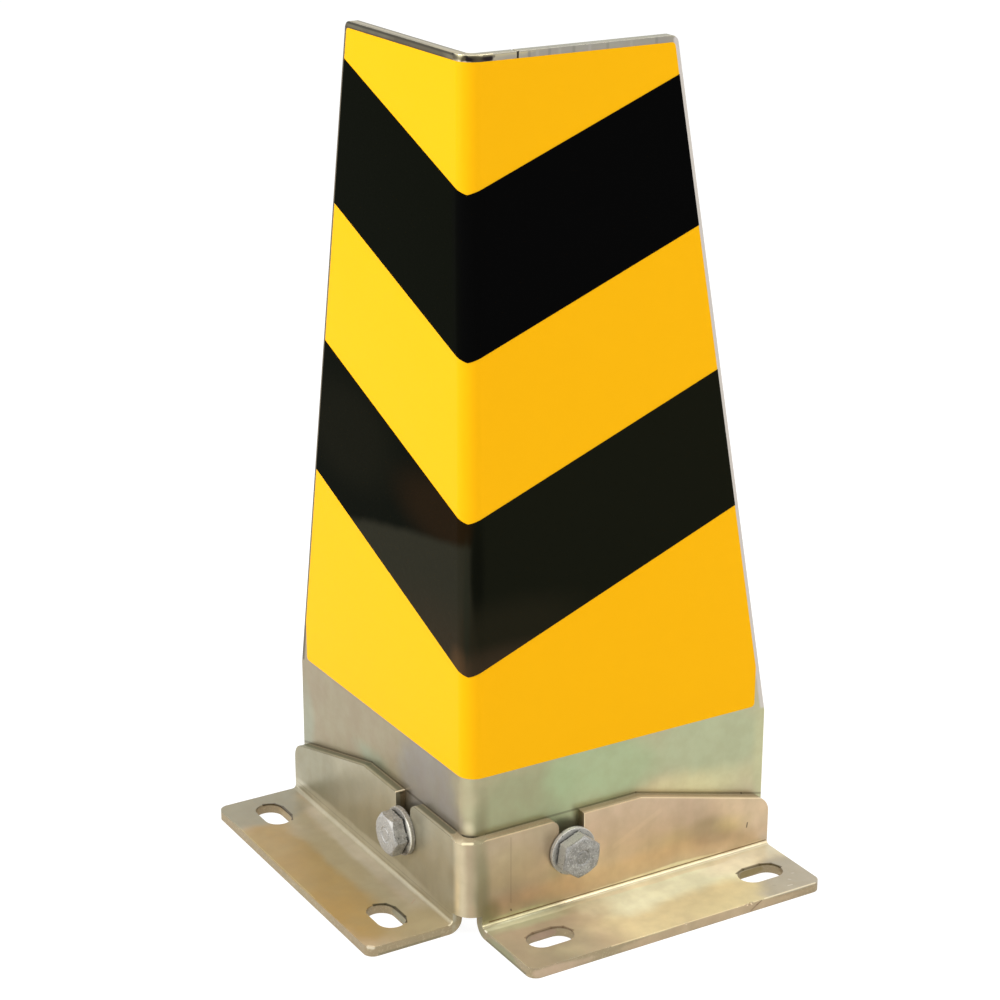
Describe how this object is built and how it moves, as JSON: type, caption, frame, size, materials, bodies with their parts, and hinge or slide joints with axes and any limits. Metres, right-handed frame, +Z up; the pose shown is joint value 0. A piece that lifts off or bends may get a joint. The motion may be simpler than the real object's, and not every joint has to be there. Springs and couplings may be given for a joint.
{
  "type": "corner impact guard",
  "caption": "Bent steel corner plate with a yellow and black warning film, bolted into a folded floor bracket with slotted flanges for floor anchors.",
  "frame": {"origin": "middle of the footprint, on the floor", "axes": "+Z up; one wing runs along +X and the other along +Y from the outer corner, which lies towards -X and -Y"},
  "size_m": [0.2186, 0.2186, 0.41],
  "materials": {
    "chromated_steel": "yellow chromated zinc, satin, with faint iridescent patches",
    "yellow_film": "smooth self-adhesive film",
    "black_film": "smooth print",
    "bright_zinc": "bright zinc, slightly rough"
  },
  "bodies": {
    "root": {"guard_plate": "chromated_steel", "warning_film": "yellow_film", "black_bands": "black_film", "base_bracket": "chromated_steel", "hex_bolts": "bright_zinc", "flat_washers": "bright_zinc", "hex_nuts": "bright_zinc"}
  },
  "joints": []
}
